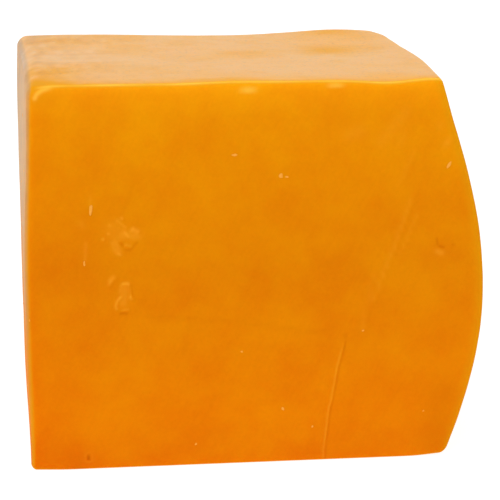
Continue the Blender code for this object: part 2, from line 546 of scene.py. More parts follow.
class Zone(NamedTuple):
    """A soft-edged stretch of the top where the dry skin is thinner, or thicker where it is negative, in mm."""

    x: float
    y: float
    reach_x: float
    reach_y: float
    strength: float

    def weight(self, plane: np.ndarray) -> np.ndarray:
        """How strongly the zone shows at points of the top's plane."""
        away = np.hypot((plane[:, 0] - self.x) / self.reach_x, (plane[:, 1] - self.y) / self.reach_y)
        return self.strength * np.exp(-(away**2))


ZONES = (
    Zone(-47.0, 9.0, 8.0, 12.0, 0.80),
    Zone(-47.0, 0.5, 13.0, 4.0, 0.80),
    Zone(-40.0, 20.0, 16.0, 6.0, 0.45),
    Zone(24.0, 48.0, 8.0, 7.0, 0.74),
    Zone(38.0, 50.0, 5.0, 6.0, 0.35),
    Zone(28.0, 73.0, 9.0, 7.0, 0.90),
    Zone(36.0, 64.0, 5.0, 6.0, 0.35),
    Zone(-44.0, 62.0, 17.0, 7.0, 0.52),
    Zone(-52.0, 24.0, 4.5, 14.0, 0.40),
    Zone(-26.0, 68.0, 5.0, 6.0, 0.50),
    Zone(-8.0, 2.4, 9.0, 2.6, 0.70),
    Zone(4.0, 44.0, 9.0, 5.0, 0.30),
    Zone(-12.0, 36.0, 16.0, 6.0, 0.22),
    Zone(-8.0, 12.0, 10.0, 5.0, 0.20),
    Zone(20.0, 18.0, 20.0, 8.0, -0.25),
    Zone(-38.0, 36.0, 16.0, 6.0, -0.45),
)


# Where the top's skin is gone altogether, and the painted rim glow shows instead
BARE = (Zone(-49.5, 3.0, 7.0, 6.0, 0.85),)


@dataclass(frozen=True)
class LipAndHighlight:
    """The thin lifted lip that the wire leaves along the front of the top, with a painted highlight along its crest,
    and the paler flakes under it.
    """

    crest: float = math.radians(50)
    spread: float = math.radians(14)
    wave: float = 9.0 * MM
    broken: float = 0.45
    rise: float = 0.12 * MM
    worn: float = 0.72
    worn_reach: float = 4.5 * MM
    worn_wave: float = 14.0 * MM
    flakes: tuple[tuple[float, float, float, float], ...] = ((-0.4, 91.9, 1.7, 0.75), (19.4, 92.6, 1.8, 0.55))
    # At its left end the lip and its painted highlight leave the edge and turn down the front
    turn: Mark = Mark(((-44.6, 93.1), (-46.4, 92.5), (-47.5, 91.7), (-48.0, 90.8)), 0.50)
    turn_strength: float = 0.62
    turn_edge: Pair = (0.25, 0.60)
    # The lip along the edge fades out between these places
    leaves: Pair = (-0.0486, -0.0452)
    # It lies above this height, and not on the sides
    lowest: float = 0.08
    sideways: float = 0.7
    # The lines that its two waves are read from
    wave_line: float = 3.0
    worn_line: float = 9.0
    worn_waver: float = 0.5
    flake_power: float = 3.0
    flake_share: float = 0.55
    flake_rise: float = 0.10 * MM

    def strength(self, points: np.ndarray, normals: np.ndarray) -> np.ndarray:
        """How strongly the lip and its painted highlight show at these points."""
        turn = np.arctan2(normals[:, 2], -normals[:, 1])
        flat = np.exp(-(((turn - self.crest) / self.spread) ** 2)) * (np.abs(normals[:, 0]) < self.sideways)
        waves = noise_at([(x / self.wave, self.wave_line, 0.0) for x in points[:, 0]])
        edge = flat * np.clip(1.0 - self.broken * (0.5 - waves), 0.0, 1.0) * (points[:, 2] > self.lowest)
        ahead = smoothstep(*self.turn_edge, -normals[:, 1])
        turned = self.turn.strength(points[:, [0, 2]] / MM) * self.turn_strength * ahead
        return np.maximum(edge * smoothstep(*self.leaves, points[:, 0]), turned)

    def thinning(self, points: np.ndarray) -> np.ndarray:
        """How far the top's skin has worn thin just behind the lip."""
        waves = noise_at([(x / self.worn_wave, self.worn_line, y / self.worn_wave) for x, y, _ in points])
        reach = self.worn_reach * (1.0 + self.worn_waver * waves)
        return self.worn * np.exp(-np.maximum(points[:, 1], 0.0) / reach)

    def flake(self, points: np.ndarray) -> np.ndarray:
        """How strongly the two paler flakes under the lip show on the front."""
        weight = np.zeros(len(points))
        for x, z, reach_x, reach_z in self.flakes:
            away = np.abs((points[:, [0, 2]] / MM - (x, z)) / (reach_x, reach_z)) ** self.flake_power
            weight = np.maximum(weight, np.exp(-away.sum(axis=1)))
        return weight


class Surface(NamedTuple):
    """The hunk's smooth surface: its points, normals, the side that each belongs to and its place on the block."""

    points: np.ndarray
    normals: np.ndarray
    owner: np.ndarray
    block: np.ndarray

    def plane(self, face: Face) -> np.ndarray:
        """The points in a side's own plane, in millimetres."""
        return self.points[:, list(face.plane)] / MM

    def facing(self, face: Face) -> np.ndarray:
        """How squarely each point looks the way that a side does."""
        return self.normals[:, face.axis] * face.sense


@dataclass(frozen=True)
class PasteFinish:
    """Aged cow's milk paste dyed with annatto, cut with a wire: deep orange, waxy, close and a little oily.

    Its fat gives the eye a soft inner glow, and a dried skin on the top gives a pale sheen at a low angle. Some light
    is painted into the colour: the glows under the top edge and along the rims, the lip's highlight, the marks' light
    and shade, and part of the top's paleness.
    """

    name: str = "mimolette_paste"
    # From the foot to the top, the cut face goes from redder to yellower; its brighter steps near the top are a
    # painted glow of light coming in through the top edge
    heights: tuple[float, ...] = (0.0, 0.013, 0.030, 0.050, 0.075, 0.086, 0.091, 0.0936)
    colours: tuple[str, ...] = (
        "#E47804",
        "#E88003",
        "#E48103",
        "#E08203",
        "#E58A03",
        "#E99004",
        "#F19807",
        "#F9A40E",
    )
    # How far the paste's hue drifts in patches, and warms towards the left between these places
    hue_drift: float = 0.0036
    drift_taken: Pair = (0.34, 0.66)
    left_warmth: float = 0.0050
    warm_between: Pair = (-0.056, -0.030)
    # How far the grain, the wire's streaks and the patches lighten and darken the paste
    grain_shade: float = 0.018
    streak_shade: float = 0.008
    patch_shade: float = 0.025
    # The painted glow of light through the thin, rounded edges, and how much of it is laid on
    rim_glow_colour: str = "#DC9A0C"
    rim_glow_share: float = 0.55
    # The marks' paler paste, partly painted highlight, and their painted shade
    pale: str = "#FAA828"
    dark_and_shade: str = "#C86000"
    # The lip's painted highlight along the front edge of the top
    lip_and_highlight: str = "#FFC84A"
    # The top's skin colours: partly a drier skin, and partly painted light, paler and yellower as the brightly lit
    # top
    skin_and_light: str = "#F5AC4B"
    skin_thin: str = "#F0A22C"
    skin_light: str = "#FBC68C"
    skin_speck: str = "#D48A30"
    thin_share: float = 0.35
    skin_streaks: float = 0.18
    skin_specks: float = 0.55
    skin_shade: float = 0.05
    skin_mark_share: float = 0.5
    film: str = "#BA8850"
    film_dark: str = "#AA7D4E"
    film_grey: str = "#86705A"
    film_streaks: float = 0.45
    film_grain: float = 0.30
    film_flecks: float = 0.28
    # The film greys by this share between these depths
    film_greyed: float = 0.28
    grey_between: Pair = (-0.008, 0.039)
    # In millimetres. The paste's own grain is about 0.1 mm, too fine to show, and so is drawn coarser
    blotch_size: float = 11.0
    grain_size: float = 0.8
    streak_width: float = 0.8
    streak_length: float = 16.0
    roughness: Pair = (0.29, 0.44)
    specular: float = 0.0
    coat_front: float = 0.015
    coat_other: float = 0.06
    coat_skin: float = 0.92
    coat_thin: float = 0.36
    coat_film: float = 0.45
    coat_grain: Pair = (0.88, 1.08)
    coat_roughness: float = 0.30
    coat_ior: float = 1.5
    subsurface: float = 0.35
    subsurface_scale: float = 3.5 * MM
    subsurface_radius: tuple[float, float, float] = (1.0, 0.42, 0.10)
    grain_bump: float = 0.045 * MM
    streak_bump: float = 0.030 * MM

    def make(self) -> bpy.types.Material:
        """Builds the paste's material."""
        material = blank_material(self.name, self.colours[2])
        tree = material.node_tree
        parts = self._parts(tree)
        # Over the paste go the marks' painted light and shade, the lip's painted highlight, the top's partly painted
        # skin and the film
        layers = (
            (parts["mark_tone_and_shading"], 1.0, linear(self.pale)),
            (parts["mark_tone_and_shading"], -1.0, linear(self.dark_and_shade)),
            (parts["lip_and_highlight"], 1.0, linear(self.lip_and_highlight)),
            (parts["top_skin_and_light"], 1.0, self._top_colour(tree, parts)),
            (parts["left_film"], 1.0, self._film(tree, parts)),
        )
        normal = None
        for name, depth in (("grain", self.grain_bump), ("streak", self.streak_bump)):
            inputs = {"Strength": 1.0, "Distance": depth, "Height": parts[name]}
            if normal:
                inputs["Normal"] = normal
            normal = add_node(tree, "ShaderNodeBump", inputs=inputs).outputs[0]
        shader = add_node(
            tree,
            "ShaderNodeBsdfPrincipled",
            {"subsurface_method": "RANDOM_WALK"},
            {
                "Base Color": self._layered(tree, self._paste(tree, parts), layers),
                "Roughness": parts["rough"],
                "Specular IOR Level": self.specular,
                "Coat Weight": self._coat(tree, parts),
                "Coat Roughness": self.coat_roughness,
                "Coat IOR": self.coat_ior,
                "Subsurface Weight": self.subsurface,
                "Subsurface Scale": self.subsurface_scale,
                "Subsurface Radius": self.subsurface_radius,
                "Normal": normal,
            },
        ).outputs[0]
        add_node(tree, "ShaderNodeOutputMaterial", inputs={"Surface": shader})
        return material

    def _parts(self, tree: Tree) -> dict[str, Socket]:
        """Reads the hunk's masks, and makes the noises and what is drawn from them.

        Args:
            tree: The material's tree.

        Returns:
            Each mask, noise and range, by its name.
        """
        parts = {
            name: add_node(tree, "ShaderNodeAttribute", {"attribute_name": name}).outputs["Fac"] for name in MASKS
        }
        wire = add_node(tree, "ShaderNodeAttribute", {"attribute_name": "wire_place"}).outputs["Vector"]
        lengths = (1.0 / self.streak_width, 1.0 / self.streak_length, 1.0)
        dragged = add_node(tree, "ShaderNodeVectorMath", MULTIPLY, {0: wire, 1: lengths}).outputs[0]
        place = add_node(tree, "ShaderNodeTexCoord").outputs["Object"]
        for name, vector, scale, detail, roughness in (
            ("blotch", place, 1.0 / (self.blotch_size * MM), 4.0, 0.62),
            ("grain", place, 1.0 / (self.grain_size * MM), 2.0, 0.55),
            ("streak", dragged, 1.0, 2.0, 0.6),
        ):
            inputs = {"Vector": vector, "Scale": scale, "Detail": detail, "Roughness": roughness}
            parts[name] = add_node(tree, "ShaderNodeTexNoise", inputs=inputs).outputs[0]
        blotch, grain, streak = parts["blotch"], parts["grain"], parts["streak"]
        spot = add_node(tree, "ShaderNodeSeparateXYZ", inputs={0: place}).outputs
        plain, soft = "LINEAR", "SMOOTHSTEP"
        for name, value, kind, taken, given in (
            ("rise", spot["Z"], plain, (0.0, self.heights[-1]), (0.0, 1.0)),
            ("warmth", spot["X"], plain, self.warm_between, (-self.left_warmth, 0.0)),
            ("greyed", spot["Y"], plain, self.grey_between, (0.0, self.film_greyed)),
            ("drift", blotch, plain, self.drift_taken, (0.5 - self.hue_drift, 0.5 + self.hue_drift)),
            ("mottled", grain, plain, NOISE_MIDDLE, (1.0 - self.grain_shade, 1.0 + self.grain_shade)),
            ("dragged", streak, plain, NOISE_MIDDLE, (1.0 - self.streak_shade, 1.0 + self.streak_shade)),
            ("clouded", blotch, plain, NOISE_MIDDLE, (1.0 - self.patch_shade, 1.0 + self.patch_shade)),
            ("rough", grain, plain, NOISE_MIDDLE, self.roughness),
            ("dusted", grain, plain, NOISE_MIDDLE, (1.0 + self.skin_shade, 1.0 - self.skin_shade)),
            ("patchy", blotch, soft, (0.40, 0.68), (0.0, self.thin_share)),
            ("film_patch", blotch, soft, (0.38, 0.64), (0.0, 1.0)),
            ("streaked", streak, soft, (0.50, 0.72), (0.0, 1.0)),
            ("specked", grain, soft, (0.56, 0.72), (0.0, 1.0)),
            ("dulled", grain, soft, (0.35, 0.65), self.coat_grain),
        ):
            inputs = dict(zip(("From Min", "From Max", "To Min", "To Max"), (*taken, *given)))
            settings = {"interpolation_type": kind}
            parts[name] = add_node(tree, "ShaderNodeMapRange", settings, {"Value": value, **inputs}).outputs[0]
        thin = {0: parts["top_zone"], 1: parts["patchy"]}
        parts["thin"] = add_node(tree, "ShaderNodeMath", CLAMPED_ADD, thin).outputs[0]
        return parts

    @staticmethod
    def _layered(tree: Tree, colour: Any, layers: Sequence[tuple[Socket, float, Any]]) -> Socket:
        """Lays tints over a colour.

        Args:
            tree: The material's tree.
            colour: The colour underneath.
            layers: From the bottom up, each tint's mask, how far the mask is scaled, and the tint.

        Returns:
            The colour with its tints.
        """
        for mask, share, tint in layers:
            strength = add_node(tree, "ShaderNodeMath", CLAMPED_MULTIPLY, {0: mask, 1: share}).outputs[0]
            colour = add_node(tree, "ShaderNodeMix", COLOURS, {0: strength, 6: colour, 7: tint}).outputs[2]
        return colour

    def _paste(self, tree: Tree, parts: Mapping[str, Socket]) -> Socket:
        """The cut paste: a gradient up the hunk with a painted glow under the top edge, patches of drifting hue, fine
        mottling and a painted glow along the yellower rims.
        """
        ramp = add_node(tree, "ShaderNodeValToRGB", inputs={"Fac": parts["rise"]})
        ends = ramp.color_ramp.elements
        ends[0].color = linear(self.colours[0])
        ends[1].color = linear(self.colours[-1])
        for level, code in zip(self.heights[1:-1], self.colours[1:-1]):
            ends.new(level / self.heights[-1]).color = linear(code)
        hue = add_node(tree, "ShaderNodeMath", inputs={0: parts["drift"], 1: parts["warmth"]}).outputs[0]
        value: Any = 1.0
        for name in ("mottled", "dragged", "clouded"):
            value = add_node(tree, "ShaderNodeMath", MULTIPLY, {0: value, 1: parts[name]}).outputs[0]
        inputs = {"Hue": hue, "Value": value, "Color": ramp.outputs[0]}
        colour = add_node(tree, "ShaderNodeHueSaturation", inputs=inputs).outputs[0]
        return self._layered(tree, colour, ((parts["rim_glow"], self.rim_glow_share, linear(self.rim_glow_colour)),))

    def _top_colour(self, tree: Tree, parts: Mapping[str, Socket]) -> Socket:
        """The top's dried skin, peach and partly painted light: thinner and more orange in zones, specked and faintly
        streaked.
        """
        speck = linear(self.skin_speck)
        layers = (
            (parts["thin"], 1.0, linear(self.skin_thin)),
            (parts["fleck"], 1.0, linear(self.skin_light)),
            (parts["fleck"], -1.0, speck),
            (parts["streaked"], self.skin_streaks, speck),
            (parts["specked"], self.skin_specks, speck),
        )
        inputs = {"Value": parts["dusted"], "Color": self._layered(tree, linear(self.skin_and_light), layers)}
        colour = add_node(tree, "ShaderNodeHueSaturation", inputs=inputs).outputs[0]
        marks = (
            (parts["mark_tone_and_shading"], self.skin_mark_share, linear(self.pale)),
            (parts["mark_tone_and_shading"], -1.0, linear(self.dark_and_shade)),
        )
        return self._layered(tree, colour, marks)

    def _film(self, tree: Tree, parts: Mapping[str, Socket]) -> Socket:
        """The dull film on the left side, in soft flecked patches, greyer towards the back."""
        layers = (
            (parts["film_patch"], 1.0, linear(self.film)),
            (parts["streak"], self.film_streaks, linear(self.film)),
            (parts["grain"], self.film_grain, linear(self.skin_and_light)),
            (parts["greyed"], 1.0, linear(self.film_grey)),
            (parts["fleck"], self.film_flecks, linear(self.skin_and_light)),
            (parts["fleck"], -self.film_flecks, linear(self.film_grey)),
        )
        return self._layered(tree, linear(self.film_dark), layers)

    def _coat(self, tree: Tree, parts: Mapping[str, Socket]) -> Socket:
        """The dried skin's sheen, strong on the top and the film, and slight on the moist cut faces."""
        whole = {0: parts["thin"], 2: self.coat_skin, 3: self.coat_thin}
        skin_and_light = {0: add_node(tree, "ShaderNodeMix", inputs=whole).outputs[0], 1: parts["dulled"]}
        sheen = add_node(tree, "ShaderNodeMath", MULTIPLY, skin_and_light).outputs[0]
        weight: Any = self.coat_other
        for name, value in (("front_cut", self.coat_front), ("left_film", self.coat_film), ("top_skin_and_light", sheen)):
            weight = add_node(tree, "ShaderNodeMix", inputs={0: parts[name], 2: weight, 3: value}).outputs[0]
        return weight


@dataclass(frozen=True)
class CrumbFinish:
    """Loose crumbs of drier paste, smeared flat by the wire: paler and duller than the cut face."""

    name: str = "mimolette_crumb"
    colour: str = "#FAB04A"
    shadow: str = "#EE9420"
    # In millimetres, and coarser than the real crumb's grain, which is too fine to show
    grain_size: float = 0.5
    grain_bump: float = 0.04 * MM
    roughness: float = 0.55
    specular: float = 0.10

    def make(self) -> bpy.types.Material:
        """Builds the crumbs' material."""
        material = blank_material(self.name, self.colour)
        tree = material.node_tree
        place = add_node(tree, "ShaderNodeTexCoord").outputs["Object"]
        inputs = {"Vector": place, "Scale": 1.0 / (self.grain_size * MM), "Detail": 2.0}
        grain = add_node(tree, "ShaderNodeTexNoise", inputs=inputs).outputs[0]
        inputs = {0: grain, 6: linear(self.shadow), 7: linear(self.colour)}
        colour = add_node(tree, "ShaderNodeMix", COLOURS, inputs).outputs[2]
        inputs = {"Strength": 1.0, "Distance": self.grain_bump, "Height": grain}
        bump = add_node(tree, "ShaderNodeBump", inputs=inputs).outputs[0]
        inputs = {
            "Base Color": colour,
            "Roughness": self.roughness,
            "Specular IOR Level": self.specular,
            "Normal": bump,
        }
        shader = add_node(tree, "ShaderNodeBsdfPrincipled", inputs=inputs).outputs[0]
        add_node(tree, "ShaderNodeOutputMaterial", inputs={"Surface": shader})
        return material


@dataclass(frozen=True)
class SkinAndGlow:
    """Where the paste has dried, the top and the left side's flecked film, the top's paler colour partly painted
    light; and the painted glow along the yellower rims.
    """

    # How squarely a point faces a side where that side begins, and where it is whole
    side_edge: Pair = (0.1, 0.4)
    front_edge: Pair = (0.6, 0.9)
    film_edge: Pair = (0.46, 0.86)
    belly_edge: Pair = (0.5, 0.9)
    # The top's skin starts where a point faces up this squarely, later at the front edge and sooner at the left one
    top_start: float = 0.50
    top_later: float = 0.34
    top_sooner: float = 0.26
    top_ramp: float = 0.32
    top_ramp_less: float = 0.19
    # The film thins between these heights, strays in patches and reaches further down towards the back
    film_reach: Pair = (0.012, 0.074)
    film_patch: float = 17.0 * MM
    film_stray: float = 14.0 * MM
    film_back: float = 6.0 * MM
    film_back_between: Pair = (0.25, 1.0)
    film_least: float = 0.10
    film_ahead: float = 0.80
    film_ahead_until: float = 0.28
    # The top's left edge has dried on past the film, in millimetres
    dried: float = 0.26
    dried_from: float = -54.0
    dried_reach: float = 6.0
    fleck_size: tuple[float, float, float] = (2.2 * MM, 4.6 * MM, 3.0 * MM)
    fleck_reach: float = 22.0 * MM
    fleck_depth: float = 1.1
    # The painted glow of light through the rounded edges shows where no side is faced squarely, and fades towards the
    # back
    rim_glow_edge: Pair = (0.80, 0.985)
    rim_glow_fade: float = 0.7
    # A band of the same painted glow runs in from the belly's edge, and is faint but near the front
    side_band: float = 3.2 * MM
    band_least: float = 0.15
    band_belly: float = 0.8
    bare_between: Pair = (0.086, 0.092)

    def film(self, surface: Surface, back: np.ndarray) -> np.ndarray:
        """How strongly the film shows on the left side, by how far back each point lies."""
        patchy = noise_at(surface.points / self.film_patch)
        lower = self.film_back * smoothstep(*self.film_back_between, back)
        fade = smoothstep(*self.film_reach, surface.points[:, 2] + self.film_stray * patchy + lower)
        fade *= self.film_ahead + (1.0 - self.film_ahead) * smoothstep(0.0, self.film_ahead_until, back)
        left = smoothstep(*self.film_edge, surface.facing(Face.LEFT))
        return left * (self.film_least + (1.0 - self.film_least) * fade)

    def flecks(self, surface: Surface) -> np.ndarray:
        """Light and dark flecks in the drier skin, on the left side and fading along the top."""
        start = surface.points[:, 0].min()
        reach = np.exp((start - surface.points[:, 0]) / self.fleck_reach)
        return np.clip(self.fleck_depth * noise_at(surface.points / np.array(self.fleck_size)) * reach, -1.0, 1.0)

    def rim_glows(self, surface: Surface, half: np.ndarray, back: np.ndarray) -> np.ndarray:
        """How strongly the painted glow shows along the yellower rims, and in a band beside the belly."""
        rim_glow = (1.0 - smoothstep(*self.rim_glow_edge, np.abs(surface.normals).max(axis=1))) * (1.0 - self.rim_glow_fade * back)
        inset = half[0] - surface.block[:, 0]
        inner = half[1] + surface.block[:, 1]
        near = self.band_least + (1.0 - self.band_least) * np.exp(-inner / self.side_band)
        belly = smoothstep(*self.belly_edge, surface.facing(Face.RIGHT))
        band = (1.0 - smoothstep(0.0, self.side_band, inset)) * near * (1.0 - self.band_belly * belly)
        return np.maximum(rim_glow, band)

    def masks(self, surface: Surface, form: HunkForm, lip_and_highlight: np.ndarray, thinning: np.ndarray) -> dict[str, np.ndarray]:
        """The skin's masks.

        Args:
            surface: The smooth surface.
            form: The form that it lies on.
            lip_and_highlight: How strongly the lip and its painted highlight show at each point.
            thinning: How far the top's skin has worn thin behind the lip.

        Returns:
            The masks that the finish reads, by their names.
        """
        plane = surface.plane(Face.TOP)
        back = surface.points[:, 1] / form.depth
        bare = sum(zone.weight(plane) for zone in BARE)
        ahead = smoothstep(*self.side_edge, surface.facing(Face.FRONT))
        beside = smoothstep(*self.side_edge, surface.facing(Face.LEFT)) * (1.0 - ahead)
        start = self.top_start + self.top_later * ahead - self.top_sooner * beside
        rounded = np.clip((surface.facing(Face.TOP) - start) / (self.top_ramp - self.top_ramp_less * ahead), 0.0, 1.0)
        dried = self.dried * np.exp(-np.maximum(plane[:, 0] - self.dried_from, 0.0) / self.dried_reach) * rounded
        uncovered = bare * smoothstep(*self.bare_between, surface.points[:, 2])
        return {
            "top_skin_and_light": smoothstep(0.0, 1.0, rounded) * np.clip(1.0 - thinning - bare, 0.0, 1.0),
            "top_zone": sum(zone.weight(plane) for zone in ZONES),
            "left_film": np.maximum(self.film(surface, back), dried),
            "fleck": self.flecks(surface),
            "front_cut": smoothstep(*self.front_edge, surface.facing(Face.FRONT)),
            "rim_glow": np.maximum(self.rim_glows(surface, form.half, back), uncovered) * (1.0 - lip_and_highlight),
        }


@dataclass
class Hunk:
    """The hunk itself: a close grid on the form, with the marks and the wire's drag as real relief."""

    form: HunkForm
    lip_and_highlight: LipAndHighlight
    skin_and_light: SkinAndGlow
    finish: bpy.types.Material
    cell: float = 1.05 * MM
    deep_cell: float = 1.50 * MM
    mark_cell: float = 0.34 * MM
    line_cell: float = 0.24 * MM
    # Closer lines at the curls, the knife's line and the nick, and at the heights of the marks
    closer_across: tuple[Pair, ...] = ((-0.0396, -0.0262), (0.0402, 0.0462))
    knife_across: Pair = (0.0186, 0.0216)
    closer_up: Pair = (-0.0078, 0.0168)
    # The marks' edges waver a little, and they show where a point faces their side this squarely
    waver_size: float = 2.2 * MM
    waver: float = 0.22
    mark_edge: Pair = (0.55, 0.85)
    # How far apart the sides read their drag, so that none repeats another's
    wire_apart: float = 40.0
    # The drag's lines and the ripples, whose spacing, length and size are in millimetres
    drag_depth: float = 0.035 * MM
    drag_spacing: float = 2.4
    drag_length: float = 30.0
    ripple_depth: float = 0.06 * MM
    ripple_size: float = 6.0
    seed: float = 7.3
    crumb_room: float = 0.10 * MM
    offset: Pair = field(init=False, default=(0.0, 0.0))

    def stations(self) -> list[np.ndarray]:
        """The grid's lines along the three axes, closer where the marks are."""
        across = (
            *(Band(*stretch, self.mark_cell) for stretch in self.closer_across),
            Band(*self.knife_across, self.line_cell),
        )
        return [
            Stations(self.form.width, self.cell, across).places(),
            Stations(self.form.depth, self.deep_cell).places(),
            Stations(self.form.height, self.cell, (Band(*self.closer_up, self.mark_cell),)).places(),
        ]

    def grid(self, lines: Sequence[np.ndarray]) -> bpy.types.Mesh:
        """A welded grid with this many lines along each axis, from -1 to 1."""
        counts = {f"Vertices {axis}": len(line) for axis, line in zip("XYZ", lines)}
        recipe = Recipe("hunk_grid", {label: "NodeSocketInt" for label in counts})
        inputs = {"Size": (2.0, 2.0, 2.0), **{label: recipe.given[label] for label in counts}}
        cube = add_node(recipe.tree, "GeometryNodeMeshCube", inputs=inputs)
        recipe.close(cube.outputs["Mesh"])
        return recipe.run(bpy.data.meshes.new("hunk_seed"), {**counts, "Finish": self.finish})

    def surface(self, mesh: bpy.types.Mesh, lines: Sequence[np.ndarray]) -> Surface:
        """Lays the grid on the form.

        Args:
            mesh: The grid, whose points are moved.
            lines: The grid's lines along the three axes.

        Returns:
            The smooth surface.
        """
        places = read(mesh.vertices, "co")
        block = np.empty_like(places)
        for axis, line in enumerate(lines):
            index = np.rint((places[:, axis] + 1.0) / 2.0 * (len(line) - 1)).astype(int)
            block[:, axis] = line[index]
        points = self.form.points(block)
        write(mesh, points)
        shares = np.abs(block) / self.form.half
        nearest = np.argmax(shares, axis=1)
        owner = nearest * 2 + (block[np.arange(len(block)), nearest] > 0)
        return Surface(points, read(mesh.vertices, "normal"), owner, block)

    def owned(self, surface: Surface, face: Face) -> np.ndarray:
        """Which points belong to a side."""
        return surface.owner == face.axis * 2 + (face.sense > 0)

    def paint(self, mesh: bpy.types.Mesh, surface: Surface) -> np.ndarray:
        """Keeps the masks that the finish reads.

        Args:
            mesh: The mesh that keeps them.
            surface: The smooth surface.

        Returns:
            How far the marks and the lip move each point out.
        """
        tone = np.zeros(len(surface.points))
        rise = np.zeros(len(surface.points))
        waver = noise_at(surface.points / self.waver_size) * self.waver
        wire = np.zeros_like(surface.points)
        for number, face in enumerate(Face):
            owned = self.owned(surface, face)
            plane = surface.plane(face)[owned]
            lean = math.radians(DRAG_LEANS[face])
            over = plane @ (math.cos(lean), -math.sin(lean))
            along = plane @ (math.sin(lean), math.cos(lean))
            wire[owned] = np.stack((over, along, np.full(len(along), number * self.wire_apart)), axis=1)
            plane = plane + waver[owned][:, None]
            square = smoothstep(*self.mark_edge, surface.facing(face)[owned])
            for mark in MARKS.get(face, ()):
                tone[owned] += mark.tone(plane) * square
                rise[owned] += mark.strength(plane) * mark.rise * MM * square
        lip_and_highlight = self.lip_and_highlight.strength(surface.points, surface.normals)
        flake = self.lip_and_highlight.flake(surface.points) * self.owned(surface, Face.FRONT)
        held = np.minimum(1.0, surface.points[:, 2] / self.form.foot_hold)
        masks = {
            **self.skin_and_light.masks(surface, self.form, lip_and_highlight, self.lip_and_highlight.thinning(surface.points)),
            "mark_tone_and_shading": np.clip(tone, -1.0, 1.0),
            "lip_and_highlight": np.clip(lip_and_highlight + flake * self.lip_and_highlight.flake_share, 0.0, 1.0),
            "hold": held,
        }
        for name, values in masks.items():
            mesh.attributes.new(name, "FLOAT", "POINT").data.foreach_set("value", values.astype(np.float32))
        store = mesh.attributes.new("wire_place", "FLOAT_VECTOR", "POINT")
        store.data.foreach_set("vector", wire.astype(np.float32).ravel())
        return (rise + lip_and_highlight * self.lip_and_highlight.rise + flake * self.lip_and_highlight.flake_rise) * held

    def drag(self, mesh: bpy.types.Mesh) -> bpy.types.Mesh:
        """Lets the wire's drag lines and slow ripples into the surface, along its normals."""
        values = {
            "Drag Depth": 2.0 * self.drag_depth,
            "Drag Spacing": self.drag_spacing,
            "Drag Length": self.drag_length,
            "Ripple Depth": 2.0 * self.ripple_depth,
            "Ripple Size": self.ripple_size,
            "Seed": self.seed,
        }
        recipe = Recipe("wire_drag", {label: "NodeSocketFloat" for label in values})
        tree, given = recipe.tree, recipe.given
        wire, hold = (
            add_node(tree, "GeometryNodeInputNamedAttribute", {"data_type": kind}, {"Name": name}).outputs[0]
            for name, kind in (("wire_place", "FLOAT_VECTOR"), ("hold", "FLOAT"))
        )
        lengths = {0: given["Drag Spacing"], 1: given["Drag Length"], 2: 1.0}
        spacing = add_node(tree, "ShaderNodeCombineXYZ", inputs=lengths).outputs[0]
        lines = add_node(tree, "ShaderNodeVectorMath", DIVIDE, {0: wire, 1: spacing}).outputs[0]
        seeded = add_node(tree, "ShaderNodeVectorMath", inputs={0: lines, 1: given["Seed"]}).outputs[0]
        place = add_node(tree, "GeometryNodeInputPosition").outputs[0]
        scale = add_node(tree, "ShaderNodeMath", DIVIDE, {0: 1.0 / MM, 1: given["Ripple Size"]}).outputs[0]
        depth: Any = 0.0
        for label, vector, size, detail in (("Drag", seeded, 1.0, 2.0), ("Ripple", place, scale, 1.5)):
            inputs = {"Vector": vector, "Scale": size, "Detail": detail}
            waves = add_node(tree, "ShaderNodeTexNoise", inputs=inputs).outputs[0]
            centred = add_node(tree, "ShaderNodeMath", SUBTRACT, {0: waves, 1: 0.5}).outputs[0]
            part = add_node(tree, "ShaderNodeMath", MULTIPLY, {0: centred, 1: given[f"{label} Depth"]}).outputs[0]
            depth = add_node(tree, "ShaderNodeMath", inputs={0: depth, 1: part}).outputs[0]
        held = add_node(tree, "ShaderNodeMath", MULTIPLY, {0: depth, 1: hold}).outputs[0]
        normal = add_node(tree, "GeometryNodeInputNormal").outputs[0]
        offset = add_node(tree, "ShaderNodeVectorMath", SCALE, {0: normal, "Scale": held}).outputs[0]
        moved = add_node(
            tree, "GeometryNodeSetPosition", inputs={"Geometry": given["Geometry"], "Offset": offset}
        ).outputs[0]
        recipe.close(moved)
        return recipe.run(mesh, {**values, "Finish": self.finish})

    def build(self) -> bpy.types.Object:
        """Makes the hunk, inside the box of the solid that it stands for."""
        lines = self.stations()
        mesh = self.grid(lines)
        surface = self.surface(mesh, lines)
        rise = self.paint(mesh, surface)
        write(mesh, surface.points + surface.normals * rise[:, None])
        mesh = self.drag(mesh)
        points = read(mesh.vertices, "co")
        low, high = (np.array(corner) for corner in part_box(NODE))
        shift = ((low + high) / 2.0 - (points.min(axis=0) + points.max(axis=0)) / 2.0)[:2]
        self.offset = (float(shift[0]), float(shift[1]))
        points[:, :2] += shift
        middle = (low + high) / 2.0 * np.array((1.0, 1.0, 0.0))
        room = high - low - self.crumb_room * np.array((2.0, 2.0, 1.0))
        shrink = np.minimum(1.0, room / (points.max(axis=0) - points.min(axis=0)))
        points = middle + (points - middle) * shrink
        points[:, 2] = np.clip(points[:, 2], 0.0, high[2])
        write(mesh, points)
        return show(mesh, "hunk")


def read(items: Any, name: str) -> np.ndarray:
    """Reads a vector of every vertex as rows."""
    values = np.empty(len(items) * 3, dtype=np.float32)
    items.foreach_get(name, values)
    return values.reshape(-1, 3).astype(float)


def write(mesh: bpy.types.Mesh, points: np.ndarray) -> None:
    """Moves a mesh's vertices."""
    mesh.vertices.foreach_set("co", points.astype(np.float32).ravel())
    mesh.update()


def show(mesh: bpy.types.Mesh, name: str) -> bpy.types.Object:
    """Puts a mesh in the scene as a piece."""
    mesh.name = name
    piece = bpy.data.objects.new(name, mesh)
    bpy.context.scene.collection.objects.link(piece)
    return piece


